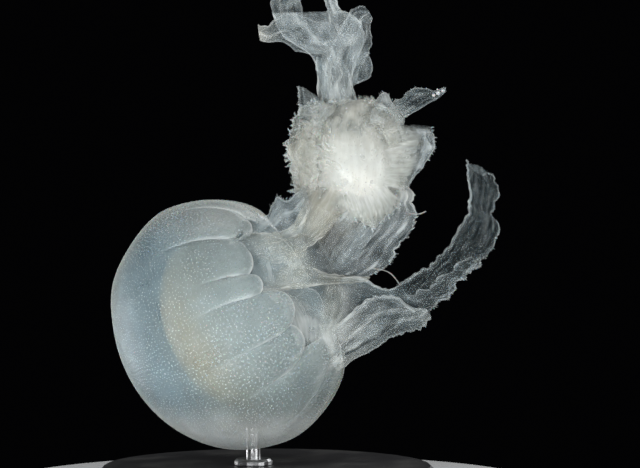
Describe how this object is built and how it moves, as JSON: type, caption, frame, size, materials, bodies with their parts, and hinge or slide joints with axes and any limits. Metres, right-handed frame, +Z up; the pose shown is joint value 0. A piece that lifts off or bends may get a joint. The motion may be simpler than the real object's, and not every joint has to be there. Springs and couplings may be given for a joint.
{
  "type": "jellyfish",
  "caption": "Life-size still model of a pale jellyfish: a thick rounded warty bell, a wide mouth stalk and long frilled oral arms, held above a flat round display base by a short rod",
  "frame": {"origin": "centre of the flat underside of the round stand base, on the surface that the model stands on", "axes": "+Z up; the viewer of the side view stands at -Y, with +X to the right; the bell lies to -X and the mouth and arms point to +X and +Z"},
  "size_m": [0.1667, 0.14, 0.2201],
  "materials": {
    "bell_jelly": "wet translucent jelly with fine white warts",
    "lining_muscle": "cream translucent tissue",
    "arm_tissue": "thin wet translucent membrane",
    "frill_tissue": "dense white frilled tissue",
    "stand_base_paint": "satin black paint",
    "stand_rod_steel": "brushed"
  },
  "bodies": {
    "root": {"umbrella_dome": "bell_jelly", "margin_lobe_1": "bell_jelly", "margin_lobe_2": "bell_jelly", "margin_lobe_3": "bell_jelly", "margin_lobe_4": "bell_jelly", "margin_lobe_5": "bell_jelly", "margin_lobe_6": "bell_jelly", "margin_lobe_7": "bell_jelly", "margin_lobe_8": "bell_jelly", "subumbrella_lining": "lining_muscle", "manubrium": "lining_muscle", "arm_1_pillar": "arm_tissue", "arm_1_frill_mass": "frill_tissue", "arm_1_neck": "arm_tissue", "arm_1_crown": "arm_tissue", "arm_1_tip": "arm_tissue", "arm_1_strand": "arm_tissue", "arm_2_base": "arm_tissue", "arm_2_tip": "arm_tissue", "arm_3_base": "arm_tissue", "arm_3_middle": "arm_tissue", "arm_3_tip": "arm_tissue", "arm_4_base": "arm_tissue", "arm_4_tip": "arm_tissue", "flap_left": "arm_tissue", "flap_top": "arm_tissue", "flap_side": "arm_tissue", "flap_spur": "arm_tissue", "flap_crown": "arm_tissue", "thread_short": "frill_tissue", "thread_loop": "frill_tissue", "stand_base": "stand_base_paint", "stand_rod": "stand_rod_steel"}
  },
  "joints": []
}
